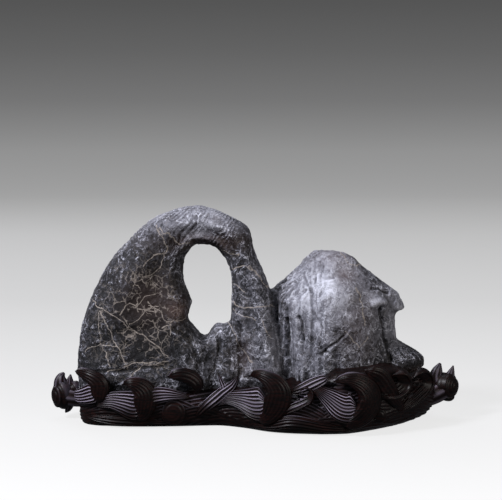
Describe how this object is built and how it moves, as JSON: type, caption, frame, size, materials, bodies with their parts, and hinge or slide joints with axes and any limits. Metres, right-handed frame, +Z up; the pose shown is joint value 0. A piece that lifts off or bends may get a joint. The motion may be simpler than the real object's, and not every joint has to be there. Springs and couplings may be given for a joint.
{
  "type": "picture stone",
  "caption": "Natural grey limestone viewing stone, an arch with a window beside a blunt peak, on a low dark hardwood stand carved as breaking waves.",
  "frame": {"origin": "middle of the object's length and depth, on the surface that the stand rests on", "axes": "+X along the length, from the arch towards the peak's low foot; +Y away from the viewing side; +Z up"},
  "size_m": [0.4979, 0.2157, 0.2615],
  "materials": {
    "limestone": "natural, matt",
    "hardwood": "waxed, semi-gloss"
  },
  "bodies": {
    "root": {"stone": "limestone", "stand": "hardwood"}
  },
  "joints": []
}
